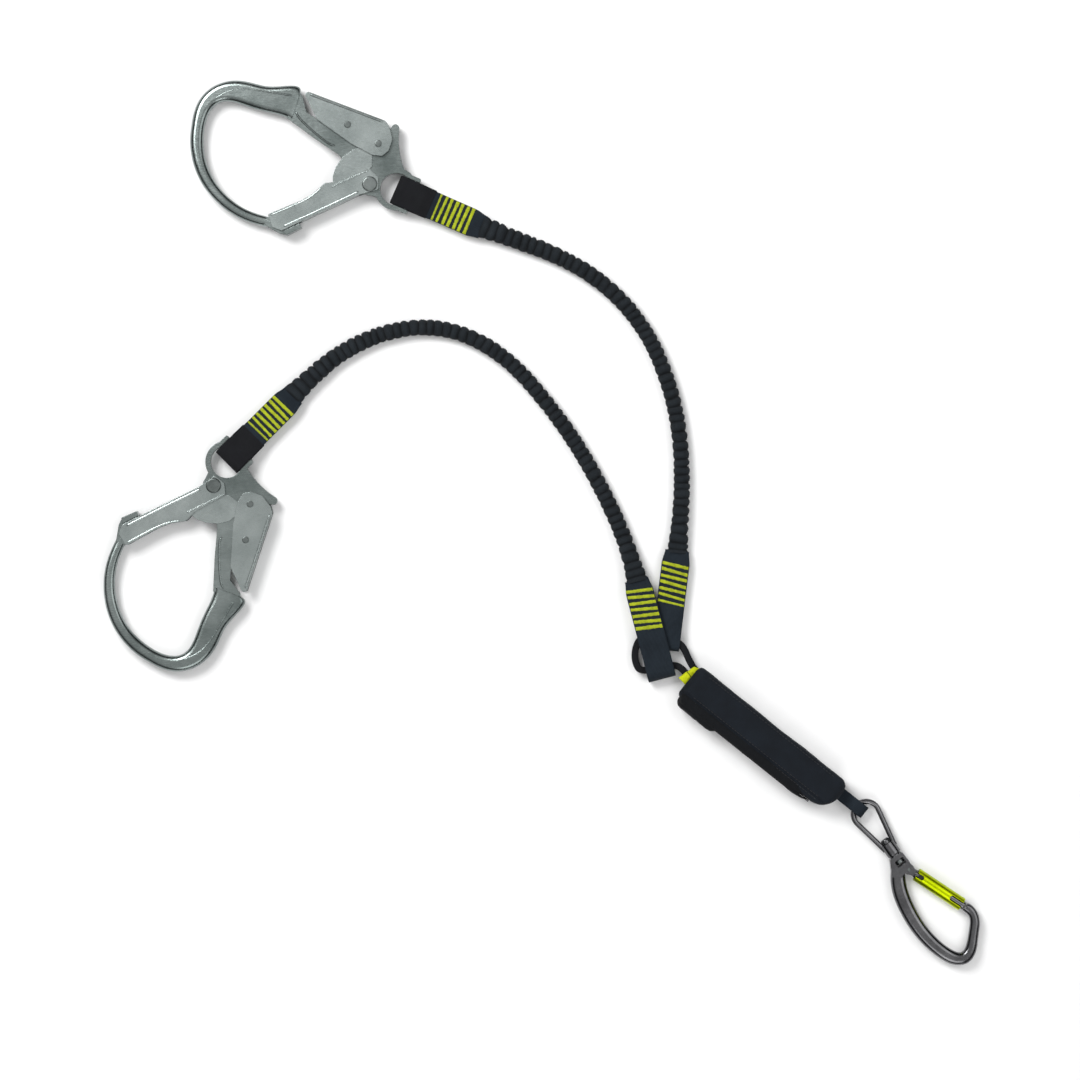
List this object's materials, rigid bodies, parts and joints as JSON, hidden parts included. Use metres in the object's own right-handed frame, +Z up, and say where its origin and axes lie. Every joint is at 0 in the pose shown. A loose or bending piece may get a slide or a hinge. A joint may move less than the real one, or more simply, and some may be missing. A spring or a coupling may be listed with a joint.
{
  "type": "shock absorbing lanyard",
  "caption": "Forked elastic webbing lanyard with scaffold hooks, a tear-webbing energy absorber pack and a swivel carabiner.",
  "frame": {"origin": "on the floor, under the middle of everything except the two free legs", "axes": "+Z up from the floor the lanyard lies on; +X from the hooks toward the carabiner; +Y toward the upper hook"},
  "size_m": [0.8761, 0.8845, 0.0286],
  "materials": {
    "forged_steel": "zinc plated forging",
    "sheet_steel": "zinc plated sheet",
    "rivet_steel": "zinc plated",
    "spring_steel": "drawn wire",
    "gunmetal": "polished gunmetal",
    "lime_anodised": "lime anodised",
    "collar_metal": "dark anodised",
    "strap_webbing": "woven navy webbing",
    "gathered": "gathered tubular webbing",
    "black_webbing": "black woven wear cover",
    "lime_thread": "lime bar tacks",
    "lime_webbing": "lime webbing",
    "elastic": "natural elastic",
    "cover_fabric": "coated black-navy cover fabric",
    "fastener_strip": "hook and loop tape",
    "tear_web": "undyed energy webbing"
  },
  "bodies": {
    "absorber": {"pack_cover": "cover_fabric", "tear_webbing": "tear_web", "upper_ring_strap": "black_webbing", "mouth_liner": "lime_webbing", "cover_patch": "cover_fabric", "tail_loop": "strap_webbing", "loop_strip": "fastener_strip", "hook_end_loop_a": "strap_webbing", "wear_sleeve_a": "black_webbing", "hook_end_tacks_a": "lime_thread", "gathered_webbing_a": "gathered", "elastic_core_a": "elastic", "pack_end_loop_a": "strap_webbing", "pack_end_tacks_a": "lime_thread", "hook_end_loop_b": "strap_webbing", "wear_sleeve_b": "black_webbing", "hook_end_tacks_b": "lime_thread", "gathered_webbing_b": "gathered", "elastic_core_b": "elastic", "pack_end_loop_b": "strap_webbing", "pack_end_tacks_b": "lime_thread"},
    "flap": {"pack_flap": "cover_fabric", "hook_strip": "fastener_strip"},
    "hook_a": {"hook_body_a": "forged_steel", "gate_rivet_a": "rivet_steel", "lever_rivet_a": "rivet_steel"},
    "gate_a": {"hook_gate_a": "sheet_steel", "gate_spring_a": "spring_steel", "lock_plates_a": "sheet_steel"},
    "lever_a": {"grip_lever_a": "sheet_steel", "lever_stud_a": "rivet_steel", "lever_spring_a": "spring_steel"},
    "hook_b": {"hook_body_b": "forged_steel", "gate_rivet_b": "rivet_steel", "lever_rivet_b": "rivet_steel"},
    "gate_b": {"hook_gate_b": "sheet_steel", "gate_spring_b": "spring_steel", "lock_plates_b": "sheet_steel"},
    "lever_b": {"grip_lever_b": "sheet_steel", "lever_stud_b": "rivet_steel", "lever_spring_b": "spring_steel"},
    "link": {"eye_link": "gunmetal"},
    "carabiner": {"carabiner_body": "gunmetal", "swivel_pin": "gunmetal", "swivel_nut": "rivet_steel", "thrust_washer": "gunmetal", "carabiner_gate_pin": "rivet_steel"},
    "carabiner_gate": {"carabiner_gate": "gunmetal", "carabiner_gate_spring": "spring_steel", "lock_sleeve_spring": "spring_steel"},
    "lock_collar": {"lock_collar": "collar_metal"},
    "lock_sleeve": {"lock_sleeve": "lime_anodised"}
  },
  "joints": [
    {"name": "flap_hinge", "type": "hinge", "parent": "absorber", "child": "flap", "pos_m": [0.20725, -0.23348, 0.0265], "axis": [-0.7826, 0.6225, 0], "range_deg": [0, 110]},
    {"name": "hook_a_swing", "type": "hinge", "parent": "absorber", "child": "hook_a", "pos_m": [-0.13131, 0.32717, 0.011], "axis": [0.4019, 0.9157, 0], "range_deg": [-90, 90]},
    {"name": "gate_a_open", "type": "hinge", "parent": "hook_a", "child": "gate_a", "pos_m": [-0.17189, 0.33823, 0.011], "axis": [0, 0, -1], "range_deg": [0, 48], "stiffness_Nm_per_rad": 0.25},
    {"name": "lever_a_squeeze", "type": "hinge", "parent": "hook_a", "child": "lever_a", "pos_m": [-0.16325, 0.37843, 0.011], "axis": [0, 0, 1], "range_deg": [0, 6], "stiffness_Nm_per_rad": 2},
    {"name": "hook_b_swing", "type": "hinge", "parent": "absorber", "child": "hook_b", "pos_m": [-0.30394, 0.07196, 0.011], "axis": [-0.7071, 0.7071, 0], "range_deg": [-90, 90]},
    {"name": "gate_b_open", "type": "hinge", "parent": "hook_b", "child": "gate_b", "pos_m": [-0.32775, 0.03745, 0.011], "axis": [0, 0, 1], "range_deg": [0, 48], "stiffness_Nm_per_rad": 0.25},
    {"name": "lever_b_squeeze", "type": "hinge", "parent": "hook_b", "child": "lever_b", "pos_m": [-0.29108, 0.01887, 0.011], "axis": [0, 0, -1], "range_deg": [0, 6], "stiffness_Nm_per_rad": 2},
    {"name": "link_swing", "type": "hinge", "parent": "absorber", "child": "link", "pos_m": [0.31443, -0.28347, 0.0075], "axis": [0.6225, 0.7826, 0], "range_deg": [-90, 90]},
    {"name": "swivel", "type": "hinge", "parent": "link", "child": "carabiner", "pos_m": [0.3246, -0.29156, 0.0075], "axis": [0.5793, -0.8151, 0], "continuous": true},
    {"name": "carabiner_gate_open", "type": "hinge", "parent": "carabiner", "child": "carabiner_gate", "pos_m": [0.36685, -0.34618, 0.0075], "axis": [0, 0, -1], "range_deg": [0, 25], "stiffness_Nm_per_rad": 0.12},
    {"name": "lock_collar_slide", "type": "slide", "parent": "carabiner_gate", "child": "lock_collar", "axis": [-0.832, 0.5548, 0], "range_m": [0, 0.003], "stiffness_N_per_m": 600},
    {"name": "lock_sleeve_twist", "type": "hinge", "parent": "lock_collar", "child": "lock_sleeve", "pos_m": [0.36685, -0.34618, 0.0075], "axis": [0.832, -0.5548, 0], "range_deg": [0, 90], "stiffness_Nm_per_rad": 0.03}
  ]
}
